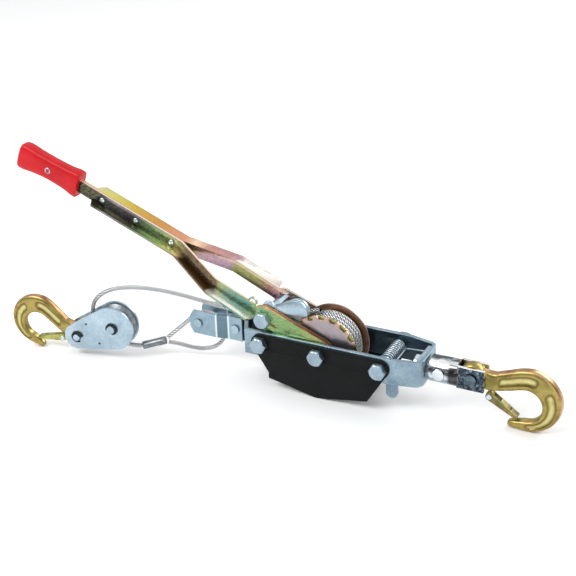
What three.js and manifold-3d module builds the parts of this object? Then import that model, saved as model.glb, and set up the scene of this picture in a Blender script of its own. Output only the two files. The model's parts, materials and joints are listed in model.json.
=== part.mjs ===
// Come along winch (hand-powered wire rope puller), in millimetres, +Z up, +X from the pulley block to
// the swivel hook.  The winch stands as it is put down on a bench: side plates and hooks touch z = 0.
import * as THREE from "three";
import { mergeVertices } from "three/addons/utils/BufferGeometryUtils.js";
import Module from "manifold-3d";

const wasm = await Module();
wasm.setup();

// ---------------------------------------------------------------- driving dimensions
const AXLE = [67.165, 12.822, 49]; // drum axle, from the point of the floor under the winch's middle
const FLOOR = -AXLE[2]; // bench surface, measured from the axle
const GAP = 0.3; // clearance between touching pieces
const CLEARANCE = 0.35; // round the pins of the fork and the tail
const FAR = 30; // reach of a cutting tool past the winch's own width
const SIDES = 24; // facets of a small round

const BOLT = { r: 4.7, hole: 5.05, acrossFlats: 16, head: 6.4, nut: 8, left: -65.1, right: 67.7 };
const STRAP = { outer: 29.5, t: 4, low: -15.5, high: 12.5, nose: 109.5, noseY: 24.6, bend: 79 };
const TAIL = { outer: 7.9, end: -116.5, shoulder: -84.5, neck: -95.5 };
const COVER = { y0: 29.8, y1: 32.3, top: 11, round: 10.5, depth: FLOOR };
const BACKING = { x0: 101.2, x1: 105.1, half: 17.2, low: -14, high: 11.2 };
const FORK = {
  outer: 14, t: 2.8, half: 13.6, corner: 10, end: -160.5, bend: -128, neck: -114.5, tail: -98, z: -1.5,
};
const ROPE_PIN = [-150, -2];
const TAIL_RIVET = [-106, -1.5];
const HEADED_PIN = 3.7; // radius of both

const DRUM = { bore: 5.2, core: 12, y0: -15.2, y1: 17, flange: 37.6, sheet: 1.6, wound: 33 };
const RATCHET = { tip: 38.8, root: 34.4, teeth: 18, t: 3 };
const ARM = { t: 2.5, web: 7.2, splayOut: 25, hub: 15, pivotU: 68.8, pivotV: -3 };
const FLANGE = { top: 13, splay: 14.4, low: 15.6, end: 80, round: 3, step: 1.4, start: 9 }; // width along the arm
const HANDLE = {
  lowAngle: 24.2, topAngle: 22, splay: 134, fork: 191, flangeTop: 301, end: 392,
};
const PAWL = { cx: -28.5, cz: 38.2, r: 12.6, y0: -19.7, y1: -11 }; // round end of the drive pawl
const LINER = { y0: -22.1, y1: -20.5, rise: 1.3 }; // second sheet behind the front arm's hub
const GRIP = { from: 326, to: 406.6, halfWidth: 8.8, halfHeight: 15.2 };
const GRIP_SCREW = { u: 365, head: 3.5, r: 2 };
const HANDLE_RIVETS = [202, 249, 294];
const ARM_SLOT = { u: 52, v: -4.6, long: 8.4, wide: 3.2 };
const ARM_CURL = { u: 87, v: 8.6, r: 5.2, wall: 1.6 };

const SWIVEL = {
  z: -2, r: 13.8, x0: 112.3, x1: 168.5, flat: 10, slot: 6.5, earFrom: 142, slotFrom: 140.4, ear: 11.7, bore: 131,
};
const SWIVEL_STEM = 6;
const STEM_HEAD = { r: 10, t: 6 };
const CROSS_PIN = { x: 123, r: 3.5, y: 11.9, head: 6.2, t: 2.7 };
const CLEVIS_PIN = 155;
const CLEVIS_PIN_HEAD = { r: 6, t: 1.5 };
const HOOK = { half: 6.1, eye: 14, bowl: [56.5, -13.5, 33.5], seat: [53.5, -19.5, 17], pin: 4.2 };
const LATCH_PIVOT = [18, -17.5];
const LATCH_TIP = [46.6, -35.2];

const BLOCK = { yaw: 10, pitch: 19.1, spacing: 45, big: 25.4, small: 15.2, inner: 6.9, t: 2.6 };
const BLOCK_PIN = [-282.3, -48.7, -25.8]; // hook pin of the block, from the axle
const SMALL_HOOK = { scale: 0.9, lift: 25.7 };
const SHEAVE = { r: 23.6, groove: 18.4, half: 6.2, bore: 5.1 };

const ROPE = 2.5; // wire rope radius
const FERRULE = { wide: 4.9, thick: 4.4 };

// ---------------------------------------------------------------- materials
const finish = (color, metalness, roughness) =>
  new THREE.MeshStandardMaterial({ color, metalness, roughness });
const clearZinc = finish(0xa9bcc8, 0.85, 0.38);
const yellowZinc = finish(0xb9a45a, 0.85, 0.34);
const hookZinc = finish(0xb39b4e, 0.85, 0.4);
const blackPaint = finish(0x1e2225, 0.0, 0.5);
const brightSteel = finish(0xcfd6db, 1.0, 0.2);
const ropeSteel = finish(0xb4b7ba, 0.9, 0.35);
const blackSteel = finish(0x2a2b2e, 0.6, 0.4);
const aluminium = finish(0x8d9196, 0.9, 0.4);
const redPlastic = finish(0xd2202a, 0.0, 0.35);

// ---------------------------------------------------------------- shape helpers
const rad = (deg) => (deg * Math.PI) / 180;
const point = ([x, z]) => new THREE.Vector2(x, z);

// Points of a circular arc, centre (x, z), from angle a to angle b in degrees.
function arc(x, z, r, a, b, step = 15) {
  const n = Math.max(1, Math.ceil(Math.abs(b - a) / step));
  return Array.from({ length: n + 1 }, (_, i) => {
    const t = rad(a + ((b - a) * i) / n);
    return [x + r * Math.cos(t), z + r * Math.sin(t)];
  });
}

const circle = (x, z, r, step = 15) => arc(x, z, r, 0, 360, step).slice(0, -1);

// An outline in the XZ plane, with holes, made into a plate from y0 to y1.
function plate(outline, y0, y1, holes = []) {
  const shape = new THREE.Shape(outline.map(point));
  shape.holes = holes.map((h) => new THREE.Path(h.map(point)));
  const g = new THREE.ExtrudeGeometry(shape, { depth: y1 - y0, bevelEnabled: false });
  return g.rotateX(Math.PI / 2).translate(0, y1, 0);
}

// An outline in the XY plane made into a slab from z0 to z1.
function slab(outline, z0, z1) {
  const shape = new THREE.Shape(outline.map(point));
  return new THREE.ExtrudeGeometry(shape, { depth: z1 - z0, bevelEnabled: false }).translate(0, 0, z0);
}

const alongY = (x, z, r, y0, y1, sides = SIDES) =>
  new THREE.CylinderGeometry(r, r, y1 - y0, sides).translate(x, (y0 + y1) / 2, z);

const alongX = (y, z, r, x0, x1, sides = 32) =>
  new THREE.CylinderGeometry(r, r, x1 - x0, sides).rotateZ(Math.PI / 2).translate((x0 + x1) / 2, y, z);

const block = (x0, x1, y0, y1, z0, z1) =>
  new THREE.BoxGeometry(x1 - x0, y1 - y0, z1 - z0).translate((x0 + x1) / 2, (y0 + y1) / 2, (z0 + z1) / 2);

const tubeY = (x, z, rOut, rIn, y0, y1) => plate(circle(x, z, rOut), y0, y1, [circle(x, z, rIn)]);

// A ring or body turned about the Y axis through (x, z); profile points are (radius, y).
function turned(x, z, profile, sides = 48) {
  const closed = profile.map(([r, y]) => new THREE.Vector2(r, y));
  return new THREE.LatheGeometry(closed, sides).translate(x, 0, z);
}

// Walls through rings of points in step, closed by a cap at each end.
function loft(rings) {
  const n = rings[0].length;
  const index = [];
  for (let k = 0; k + 1 < rings.length; k++)
    for (let i = 0; i < n; i++) {
      const a = k * n + i;
      const b = k * n + ((i + 1) % n);
      index.push(a, b, b + n, a, b + n, a + n);
    }
  const section = rings[0].flatMap((p) => [new THREE.Vector2(p[1], p[2])]);
  const cap = THREE.ShapeUtils.triangulateShape(section, []);
  const last = (rings.length - 1) * n;
  cap.forEach(([a, b, c]) => index.push(a, c, b, last + a, last + b, last + c));
  const g = new THREE.BufferGeometry();
  g.setAttribute("position", new THREE.Float32BufferAttribute(rings.flat(2), 3));
  g.setIndex(index);
  return g;
}

function toSolid(geometry) {
  const g = geometry.clone();
  g.deleteAttribute("normal");
  g.deleteAttribute("uv");
  const merged = mergeVertices(g, 1e-4);
  return new wasm.Manifold(
    new wasm.Mesh({
      numProp: 3,
      vertProperties: merged.attributes.position.array,
      triVerts: new Uint32Array(merged.index.array),
    }),
  );
}

function toGeometry(solid) {
  const m = solid.getMesh();
  const g = new THREE.BufferGeometry();
  g.setAttribute("position", new THREE.Float32BufferAttribute(m.vertProperties, m.numProp));
  return g.setIndex(new THREE.BufferAttribute(m.triVerts, 1));
}

const cut = (base, ...tools) => toGeometry(tools.reduce((s, t) => s.subtract(toSolid(t)), toSolid(base)));
const join = (base, ...more) => toGeometry(more.reduce((s, p) => s.add(toSolid(p)), toSolid(base)));

function piece(group, name, geometry, material) {
  const mesh = new THREE.Mesh(geometry, material);
  mesh.name = name;
  group.add(mesh);
  return mesh;
}

// ---------------------------------------------------------------- frame
// Half of the strap's outline in plan, from the tail to the middle of the nose, offset inwards by d.
function legPath(d) {
  const lean = Math.atan2(STRAP.outer - STRAP.noseY, STRAP.nose - 9 - STRAP.bend);
  const neckLean = Math.atan2(STRAP.outer - TAIL.outer, TAIL.shoulder - TAIL.neck);
  const side = STRAP.outer - d;
  const k = d * Math.tan(neckLean / 2);
  return [
    [TAIL.end, TAIL.outer - d],
    [TAIL.neck + k, TAIL.outer - d],
    [TAIL.shoulder + k, side],
    [STRAP.bend - d * Math.tan(lean / 2), side],
    ...arc(STRAP.nose - 9, STRAP.noseY - 9, 9 - d, 90 - (lean * 180) / Math.PI, 0, 20),
  ];
}

function strap() {
  const mirror = (path) => path.map(([x, y]) => [x, -y]).reverse();
  const outer = [...mirror(legPath(0)).reverse(), ...legPath(0).reverse()];
  const inner = [...legPath(STRAP.t), ...mirror(legPath(STRAP.t))];
  const body = slab([...outer, ...inner], STRAP.low, STRAP.high);
  const bolts = [BOLT.left, 0, BOLT.right].map((x) => alongY(x, 0, BOLT.hole, -40, 40));
  const rivet = alongY(...TAIL_RIVET, HEADED_PIN + CLEARANCE, -FAR, FAR);
  const nose = alongX(0, SWIVEL.z, SWIVEL_STEM + GAP, 90, 120, 24);
  return cut(body, ...bolts, rivet, nose);
}

function sideCover(y0, y1) {
  const { left, right } = BOLT;
  const outline = [
    ...arc(left, 0.5, COVER.round, 90, 235),
    [-55.9, -31.5],
    [-55.9, -38],
    [-0.9, COVER.depth],
    [55.4, -39.2],
    ...arc(right, 0.5, COVER.round, -50, 90),
  ];
  return plate(outline, y0, y1, [left, 0, right].map((x) => circle(x, 0, BOLT.hole)));
}

function forkPlate(side) {
  const { outer, t, half, z } = FORK;
  const inner = TAIL.outer + GAP;
  const path = [
    [FORK.end, outer],
    [FORK.bend, outer],
    [FORK.neck, inner + t],
    [FORK.tail, inner + t],
    [FORK.tail, inner],
    [FORK.neck - 1, inner],
    [FORK.bend - 1, outer - t],
    [FORK.end, outer - t],
  ].map(([x, y]) => [x, y * side]);
  const body = slab(side > 0 ? path.reverse() : path, z - half, z + half);
  const corner = (s) => {
    const edge = z + s * (half + 1);
    const tip = [[FORK.end - 1, edge], [FORK.end + 5, edge], [FORK.end - 1, edge - s * FORK.corner]];
    return plate(s > 0 ? tip.reverse() : tip, -FAR, FAR);
  };
  const hole = HEADED_PIN + CLEARANCE;
  const holes = [ROPE_PIN, TAIL_RIVET].map((place) => alongY(...place, hole, -FAR, FAR));
  return cut(body, corner(1), corner(-1), ...holes);
}

// A pin with a flat head outside each end.
function headedPin(x, z, r, y, head, t) {
  const half = [[r, y], [head, y], [head, y + t], [0, y + t]];
  const mirrored = half.map(([radius, end]) => [radius, -end]).reverse();
  return turned(x, z, [...mirrored, ...half], 20);
}

function hexBolt(x, z, y0, y1) {
  const af = BOLT.acrossFlats / Math.sqrt(3);
  const head = alongY(x, z, af, y0 - BOLT.head, y0, 6);
  return join(head, alongY(x, z, BOLT.r, y0 - 1, y1));
}

function hexNut(x, z, y0, y1) {
  const hex = arc(x, z, BOLT.acrossFlats / Math.sqrt(3), 30, 330, 60);
  return plate(hex, y0, y1, [circle(x, z, BOLT.hole)]);
}

function buildFrame(root) {
  const fastenY = COVER.y1 + GAP;
  piece(root, "frame_strap", strap(), clearZinc);
  const { x0, x1, half, low, high } = BACKING;
  const hole = alongX(0, SWIVEL.z, SWIVEL_STEM + GAP, 90, 120, 24);
  piece(root, "nose_backing_plate", cut(block(x0, x1, -half, half, low, high), hole), clearZinc);
  piece(root, "side_cover_front", sideCover(-COVER.y1, -COVER.y0), blackPaint);
  piece(root, "side_cover_rear", sideCover(COVER.y0, COVER.y1), blackPaint);
  Object.entries({ left: BOLT.left, axle: 0, right: BOLT.right }).forEach(([name, x]) => {
    piece(root, `${name}_bolt`, hexBolt(x, 0, -fastenY, fastenY + BOLT.nut + 2), clearZinc);
    piece(root, `${name}_nut`, hexNut(x, 0, fastenY, fastenY + BOLT.nut), clearZinc);
  });
  const inside = STRAP.outer - STRAP.t - GAP;
  piece(root, "left_spacer_tube", tubeY(BOLT.left, 0, 7.5, BOLT.hole, -inside, inside), clearZinc);
  piece(root, "fork_plate_front", forkPlate(-1), clearZinc);
  piece(root, "fork_plate_rear", forkPlate(1), clearZinc);
  piece(root, "rope_anchor_pin", headedPin(...ROPE_PIN, HEADED_PIN, FORK.outer + GAP, 4.6, 1.4), clearZinc);
  const neckFace = TAIL.outer + FORK.t + 2 * GAP;
  piece(root, "tail_rivet", headedPin(...TAIL_RIVET, HEADED_PIN, neckFace, 4.8, 1.6), clearZinc);
}

// ---------------------------------------------------------------- drum
function ratchetWheel(y0, y1) {
  const outline = [];
  const pitch = 360 / RATCHET.teeth;
  for (let i = 0; i < RATCHET.teeth; i++) {
    outline.push(...arc(0, 0, RATCHET.tip, i * pitch, i * pitch + 6, 6));
    outline.push(...arc(0, 0, RATCHET.root, i * pitch + 8, i * pitch + 16, 8));
  }
  return plate(outline, y0, y1, [circle(0, 0, DRUM.bore)]);
}

function buildDrum(drum) {
  const { y0, y1, sheet, flange, core, bore, wound } = DRUM;
  const disc = (a, b) => plate(circle(0, 0, flange, 7.5), a, b, [circle(0, 0, bore)]);
  const g = GAP;
  piece(drum, "ratchet_wheel", ratchetWheel(y0 - g - RATCHET.t, y0 - g), yellowZinc);
  piece(drum, "drum_flange_front", disc(y0, y0 + sheet), yellowZinc);
  const [from, to] = [y0 + sheet + g, y1 - sheet - g];
  piece(drum, "drum_core", tubeY(0, 0, core, bore, from, to), clearZinc);
  const rope = [[core + g, from], [wound, from], [wound, to], [core + g, to], [core + g, from]];
  piece(drum, "wound_rope", turned(0, 0, rope, 36), ropeSteel);
  piece(drum, "drum_flange_rear", disc(y1 - sheet, y1), yellowZinc);
}

// ---------------------------------------------------------------- handle
// A point of the handle's centre line at distance u from the axle, v above it.
function onHandle(u, v = 0) {
  const low = rad(HANDLE.lowAngle);
  const top = rad(HANDLE.topAngle);
  const first = Math.min(u, HANDLE.fork);
  const rest = u - first;
  const x = -first * Math.cos(low) - rest * Math.cos(top);
  const z = first * Math.sin(low) + rest * Math.sin(top);
  const t = rest > 0 ? top : low;
  return [x + v * Math.sin(t), z + v * Math.cos(t)];
}

// Distance of an arm's inner face from the middle plane at u.
function armInner(u) {
  const k = THREE.MathUtils.clamp((u - HANDLE.splay) / (HANDLE.fork - HANDLE.splay), 0, 1);
  return THREE.MathUtils.lerp(ARM.splayOut - ARM.t, 0.2, k);
}

// One arm: an L section whose flange stands outwards, at the front arm's foot and the rear arm's head.
function handleArm(side) {
  const flangeAt = (u, w) => {
    const y0 = side * armInner(u);
    const y1 = y0 + side * ARM.t;
    const y2 = y0 + side * Math.max(w, ARM.t + 0.01);
    const [foot, head] = side < 0 ? [-ARM.web, ARM.web] : [ARM.web, -ARM.web];
    const lip = foot + Math.sign(head) * ARM.t;
    const section = [[y0, head], [y1, head], [y1, lip], [y2, lip], [y2, foot], [y0, foot]];
    return section.map(([y, v]) => {
      const [x, z] = onHandle(u, v);
      return [x, y, z];
    });
  };
  const rings = [
    flangeAt(HANDLE.end, ARM.t),
    flangeAt(HANDLE.flangeTop + 6, ARM.t),
    flangeAt(HANDLE.flangeTop, FLANGE.top),
    flangeAt(HANDLE.fork, FLANGE.top),
    flangeAt(HANDLE.splay, FLANGE.splay),
    flangeAt(FLANGE.end + FLANGE.round, FLANGE.low),
    flangeAt(FLANGE.end, ARM.t + FLANGE.start),
    flangeAt(FLANGE.end - FLANGE.step, ARM.t),
  ];
  const inner = side * (ARM.splayOut - ARM.t);
  const outer = side * ARM.splayOut;
  const hubSheet = plate(hubOutline(), Math.min(inner, outer), Math.max(inner, outer));
  const holes = [
    alongY(0, 0, BOLT.hole + 0.1, -FAR, FAR),
    alongY(...onHandle(ARM.pivotU, ARM.pivotV), BOLT.hole, -FAR, FAR),
    ...HANDLE_RIVETS.map((u) => alongY(...onHandle(u), 3.1, -FAR, FAR, 16)),
    alongY(...onHandle(GRIP_SCREW.u), GRIP_SCREW.r + GAP, -FAR, FAR, 16),
  ];
  if (side > 0) return cut(join(loft(rings), hubSheet), ...holes);
  const { u, v, long, wide } = ARM_SLOT;
  const slot = [[0, 0], [long, 0], [long, wide], [0, wide]].map(([du, dv]) => onHandle(u + du, v + dv));
  return cut(join(loft(rings), hubSheet, armCurl()), ...holes, plate(slot.reverse(), -30, -20));
}

// Curled lug that stands on the head of the front arm and holds the pawl spring.
function armCurl() {
  const [x, z] = onHandle(ARM_CURL.u, ARM_CURL.v);
  const { r, wall } = ARM_CURL;
  const outline = [...arc(x, z, r, -70, 230, 20), ...arc(x, z, r - wall, 230, -70, 20)];
  return plate(outline, -ARM.splayOut, -ARM.splayOut + ARM.t);
}

// Flat sheet from the end of the flange round the pawl pivot to the axle, its head raised by rise.
function hubOutline(rise = 0) {
  const a = HANDLE.lowAngle;
  const pivot = onHandle(ARM.pivotU, ARM.pivotV);
  return [
    ...arc(0, 0, ARM.hub + rise, -90 - a, 90 - a, 20),
    onHandle(ARM.pivotU + 4, ARM.web + 4 + rise),
    onHandle(FLANGE.end, ARM.web),
    onHandle(FLANGE.end + 4, 0),
    onHandle(FLANGE.end, -ARM.web),
    ...arc(...pivot, 11, 265 - a, 272 - a, 20),
  ];
}

function hubLiner() {
  const axleHole = alongY(0, 0, BOLT.hole + 0.1, -FAR, FAR);
  const pivotHole = alongY(...onHandle(ARM.pivotU, ARM.pivotV), BOLT.hole, -FAR, FAR);
  return cut(plate(hubOutline(LINER.rise), LINER.y0, LINER.y1), axleHole, pivotHole);
}

// Rounded oblong section of the grip at u, with half height h, half width w and the centre moved by v.
function gripSection(u, h, w, v) {
  return Array.from({ length: 24 }, (_, i) => {
    const t = (2 * Math.PI * i) / 24;
    const c = Math.cos(t);
    const s = Math.sin(t);
    const y = w * Math.sign(c) * Math.abs(c) ** 0.55;
    const z = h * Math.sign(s) * Math.abs(s) ** 0.55;
    const [px, pz] = onHandle(u, v + z);
    return [px, y, pz];
  });
}

function grip() {
  const { from, to, halfHeight: h, halfWidth: w } = GRIP;
  const mid = (from + to) / 2;
  const rings = [
    gripSection(to, h * 0.7, w * 0.7, -3.4),
    gripSection(to - 2.5, h * 0.98, w * 0.95, -3.2),
    gripSection(to - 9, h * 1.02, w, -2.6),
    gripSection(to - 24, h * 0.9, w * 0.95, -1.2),
    gripSection(mid, h * 0.84, w * 0.92, 0),
    gripSection(from + 16, h * 0.9, w * 0.94, 0.8),
    gripSection(from + 4, h * 1.02, w, 1),
    gripSection(from, h * 0.96, w * 0.95, 1),
  ];
  const [x0, z0] = onHandle(from - 5);
  const [x1, z1] = onHandle(HANDLE.end + 1);
  const half = ARM.web + GAP;
  const t = rad(HANDLE.topAngle);
  const lift = [half * Math.sin(t), half * Math.cos(t)];
  const pocket = [
    [x0 + lift[0], z0 + lift[1]],
    [x1 + lift[0], z1 + lift[1]],
    [x1 - lift[0], z1 - lift[1]],
    [x0 - lift[0], z0 - lift[1]],
  ];
  const wide = ARM.t + 0.2 + GAP;
  const hole = alongY(...onHandle(GRIP_SCREW.u), GRIP_SCREW.r + 0.6, -FAR, FAR, 16);
  const sink = alongY(...onHandle(GRIP_SCREW.u), GRIP_SCREW.head + 0.4, -FAR, -w * 0.92 + 1.6, 16);
  return cut(loft(rings), plate(pocket, -wide, wide), hole, sink);
}

function buildHandle(handle) {
  piece(handle, "handle_arm_front", handleArm(-1), yellowZinc);
  piece(handle, "handle_arm_rear", handleArm(1), yellowZinc);
  piece(handle, "hub_liner", hubLiner(), yellowZinc);
  HANDLE_RIVETS.forEach((u, i) => {
    const rivet = headedPin(...onHandle(u), 2.8, ARM.t + 0.2 + GAP, 4.4, 1.8);
    piece(handle, `handle_rivet_${i + 1}`, rivet, clearZinc);
  });
  piece(handle, "grip", grip(), redPlastic);
  const w = GRIP.halfWidth * 0.92;
  const head = alongY(...onHandle(GRIP_SCREW.u), GRIP_SCREW.head, -w + 0.1, -w + 1.3, 16);
  const shank = alongY(...onHandle(GRIP_SCREW.u), GRIP_SCREW.r, -w + 0.5, w - 0.5, 16);
  piece(handle, "grip_screw", join(head, shank), brightSteel);
  const span = ARM.splayOut + GAP;
  const [px, pz] = onHandle(ARM.pivotU, ARM.pivotV);
  piece(handle, "pawl_bolt", hexBolt(px, pz, -span, span + 5.5), clearZinc);
  piece(handle, "pawl_nut", hexNut(px, pz, span, span + 5), clearZinc);
}

// ---------------------------------------------------------------- pawls
// Drive pawl: a sleeve on the pawl bolt, a thumb tab, a lifting bar and the thick D that meets the teeth.
function drivePawl() {
  const [px, pz] = onHandle(ARM.pivotU, ARM.pivotV);
  const { cx, cz, r, y0, y1 } = PAWL;
  const nose = plate([
    ...arc(px, pz, 7.6, 125, 290),
    [px + 27, pz + 6.2],
    ...arc(0, 0, RATCHET.tip + 1.2, 130, 115.5, 8),
    ...arc(cx, cz, r, -8, 118),
  ], y0, y1);
  const tabOutline = [...arc(px + 4, pz + 12, 7.2, -10, 190, 20), [px - 4, pz + 4], [px + 8, pz + 4]];
  const tab = plate(tabOutline, y0, y0 + 3);
  const barOutline = [[1, 5], [5.5, 3.5], [8.4, 9.4], [4.6, 11]].map(([x, z]) => [px + x, pz + z]);
  const bar = plate(barOutline, y0, 18);
  const sleeve = alongY(px, pz, 7.6, y0 - 0.2, 21.9);
  return cut(join(nose, tab, bar, sleeve), alongY(px, pz, BOLT.hole + GAP, -FAR, FAR));
}

// Lock pawl on the right bolt: nose into the ratchet teeth, release tail below the frame.
function lockPawl() {
  const x = BOLT.right;
  const outline = [
    ...arc(x, 0, 9, 20, 130),
    [x - 25, -1.5],
    [x - 28.3, -6.2],
    [x - 24, -9],
    [x - 9, -8],
    [x + 3.2, -14],
    ...arc(x + 9.6, -29.5, 6, 180, 360, 20),
    [x + 14, -12],
  ];
  const cheek = plate(outline, -20.8, -16.4);
  const tube = tubeY(x, 0, 6.1, BOLT.hole + GAP, -16.8, 24.8);
  return cut(join(cheek, tube), alongY(x, 0, BOLT.hole + GAP, -FAR, FAR));
}

// Torsion spring drawn as the close sleeve its turns fill, with the leg that bears on the nose plate.
function springSleeve(x, z, rOut, rIn, y0, y1, legTo) {
  const leg = new THREE.LineCurve3(
    new THREE.Vector3(x + 2, y1 - 1.2, z + rOut - 1.1),
    new THREE.Vector3(...legTo),
  );
  const section = new THREE.Shape(circle(0, 0, 0.8, 45).map(point));
  const rod = new THREE.ExtrudeGeometry(section, { steps: 1, bevelEnabled: false, extrudePath: leg });
  return join(tubeY(x, z, rOut, rIn, y0, y1), rod);
}

// ---------------------------------------------------------------- hooks
// Closed outline of a forged hook: origin at the eye, shank towards +X, mouth below.
function hookOutline() {
  const [bx, bz, br] = HOOK.bowl;
  const [sx, sz, sr] = HOOK.seat;
  return [
    ...arc(0, 0, HOOK.eye, 42, 305, 15),
    [19, -11.2],
    [28.7, -9.2],
    [42, -5.4],
    ...arc(sx, sz, sr, 92, -100, 12),
    [44.6, -38.9],
    ...arc(38.4, -43, 2.6, 80, 245, 30),
    [52, -47],
    ...arc(bx, bz, br, -92, 92, 11),
    [50, 18.9],
    [40.4, 15.9],
    [30.3, 11.9],
    [21.3, 8.9],
  ];
}

function forgedHook() {
  const hole = circle(0, 0, HOOK.pin + GAP);
  const body = plate(hookOutline(), -HOOK.half, HOOK.half, [hole]);
  const [lx, lz] = LATCH_PIVOT;
  const lug = plate([...arc(lx, lz, 4.4, 175, 365, 20), [lx + 6, -8], [lx - 6, -8]], -2.6, 2.6);
  return cut(join(body, lug), alongY(lx, lz, 1.9, -9, 9, 12));
}

// Latch: channel that straddles the lug and closes the mouth onto the point.
function hookLatch() {
  const [lx, lz] = LATCH_PIVOT;
  const [tx, tz] = LATCH_TIP;
  const a = Math.atan2(tz - lz, tx - lx);
  const away = (d, w) => [lx + d * Math.cos(a) - w * Math.sin(a), lz + d * Math.sin(a) + w * Math.cos(a)];
  const length = Math.hypot(tx - lx, tz - lz);
  const deg = (a * 180) / Math.PI;
  const outline = [...arc(lx, lz, 4.2, deg + 90, deg + 270, 30), away(length, -1.8), away(length, 1.6)];
  const corners = [[-6, -5], [length - 9, -5], [length - 9, 2.4], [12, 2.4], [10, 7], [-6, 7]];
  const channel = corners.map(([d, w]) => away(d, w));
  const body = plate(outline, -4.2, 4.2);
  return cut(body, plate(channel.reverse(), -3, 3), alongY(lx, lz, 1.9, -9, 9, 12));
}

// Forged hook with its latch rivet in one group and the latch in the other, named by size.
function buildHook(hook, latch, size) {
  const [lx, lz] = LATCH_PIVOT;
  piece(hook, `hook_${size}`, forgedHook(), hookZinc);
  piece(hook, `latch_rivet_${size}`, headedPin(lx, lz, 1.6, 4.2 + GAP, 2.8, 1), brightSteel);
  piece(latch, `latch_${size}`, hookLatch(), hookZinc);
}

function buildSwivel(swivel) {
  const { z, r, x0, x1, flat, slot, earFrom, slotFrom } = SWIVEL;
  const outside = (s) => {
    const ramp = [
      [earFrom - 6, s * (r + 1)],
      [earFrom, s * flat],
      [x1 + 1, s * flat],
      [x1 + 1, s * FAR],
      [earFrom - 6, s * FAR],
    ];
    return slab(s > 0 ? ramp : ramp.reverse(), z - FAR, z + FAR);
  };
  const ears = block(earFrom - 1, x1, -flat, flat, z - SWIVEL.ear, z + SWIVEL.ear);
  const clevis = cut(
    join(alongX(0, z, r, x0, earFrom), ears),
    outside(1),
    outside(-1),
    block(slotFrom, x1 + 1, -slot, slot, z - FAR, z + FAR),
    alongX(0, z, SWIVEL_STEM + GAP, x0 - 1, SWIVEL.bore, 24),
    alongY(CROSS_PIN.x, z, CROSS_PIN.r + GAP, -FAR, FAR),
    alongY(CROSS_PIN.x, z, CROSS_PIN.head + 0.4, -FAR, GAP - CROSS_PIN.y),
    alongY(CROSS_PIN.x, z, CROSS_PIN.head + 0.4, CROSS_PIN.y - GAP, FAR),
    alongY(CLEVIS_PIN, z, HOOK.pin + GAP, -FAR, FAR),
  );
  piece(swivel, "swivel_clevis", clevis, brightSteel);
  const headX = BACKING.x0 - GAP;
  const shank = alongX(0, z, SWIVEL_STEM, headX - 1, SWIVEL.bore - 0.6, 24);
  const stem = join(shank, alongX(0, z, STEM_HEAD.r, headX - STEM_HEAD.t, headX, 24));
  const stemHole = alongY(CROSS_PIN.x, z, CROSS_PIN.r + GAP, -FAR, FAR);
  piece(swivel, "swivel_stem", cut(stem, stemHole), brightSteel);
  const crossPin = headedPin(CROSS_PIN.x, z, CROSS_PIN.r, CROSS_PIN.y, CROSS_PIN.head, CROSS_PIN.t);
  piece(swivel, "swivel_cross_pin", crossPin, brightSteel);
  const clevisPin = headedPin(CLEVIS_PIN, z, HOOK.pin, flat + GAP, CLEVIS_PIN_HEAD.r, CLEVIS_PIN_HEAD.t);
  piece(swivel, "clevis_pin", clevisPin, brightSteel);
}

// ---------------------------------------------------------------- pulley block
// In the block's own frame: origin at the hook pin, +X to the sheave pin.
function cheekOutline() {
  const { spacing, big, small } = BLOCK;
  const lean = (Math.asin((big - small) / spacing) * 180) / Math.PI;
  return [
    ...arc(spacing, 0, big, -90 - lean, -62, 12),
    ...arc(spacing, 0, big * 0.99, -52, 90 + lean, 12),
    ...arc(0, 0, small, 90 + lean, 270 - lean, 15),
  ];
}

function sheave() {
  const { r, groove, half, bore } = SHEAVE;
  const profile = [
    [bore, -half],
    [r, -half],
    [r, -half + 1.2],
    [groove + 1.2, -2.6],
    [groove, 0],
    [groove + 1.2, 2.6],
    [r, half - 1.2],
    [r, half],
    [bore, half],
    [bore, -half],
  ];
  return turned(BLOCK.spacing, 0, profile, 40);
}

function clipRing(x, z, y0, y1, open) {
  const [from, to] = [open + 35, open + 325];
  return plate([...arc(x, z, 6.8, from, to, 18), ...arc(x, z, 4.5, to, from, 18)], y0, y1);
}

function buildBlock(blockGroup, sheaveGroup) {
  const { inner, t, spacing } = BLOCK;
  const outer = inner + t;
  const holes = [circle(0, 0, HOOK.pin + GAP), circle(spacing, 0, 4.7)];
  piece(blockGroup, "block_cheek_front", plate(cheekOutline(), -outer, -inner, holes), clearZinc);
  piece(blockGroup, "block_cheek_rear", plate(cheekOutline(), inner, outer, holes), clearZinc);
  const pin = (x, r) => {
    const [tip, seat, head] = [-outer - 3.6, outer + GAP, outer + 2.2];
    return turned(x, 0, [[0, tip], [r, tip], [r, seat], [r + 2, seat], [r + 2, head], [0, head]], 24);
  };
  piece(blockGroup, "hook_pin", pin(0, HOOK.pin * SMALL_HOOK.scale), clearZinc);
  piece(blockGroup, "sheave_pin", pin(spacing, 4.4), clearZinc);
  const clip = -outer - GAP;
  piece(blockGroup, "hook_pin_clip", clipRing(0, 0, clip - 1.1, clip, -50), blackSteel);
  piece(blockGroup, "sheave_pin_clip", clipRing(spacing, 0, clip - 1.1, clip, 215), blackSteel);
  piece(sheaveGroup, "sheave", sheave(), aluminium);
}

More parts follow.
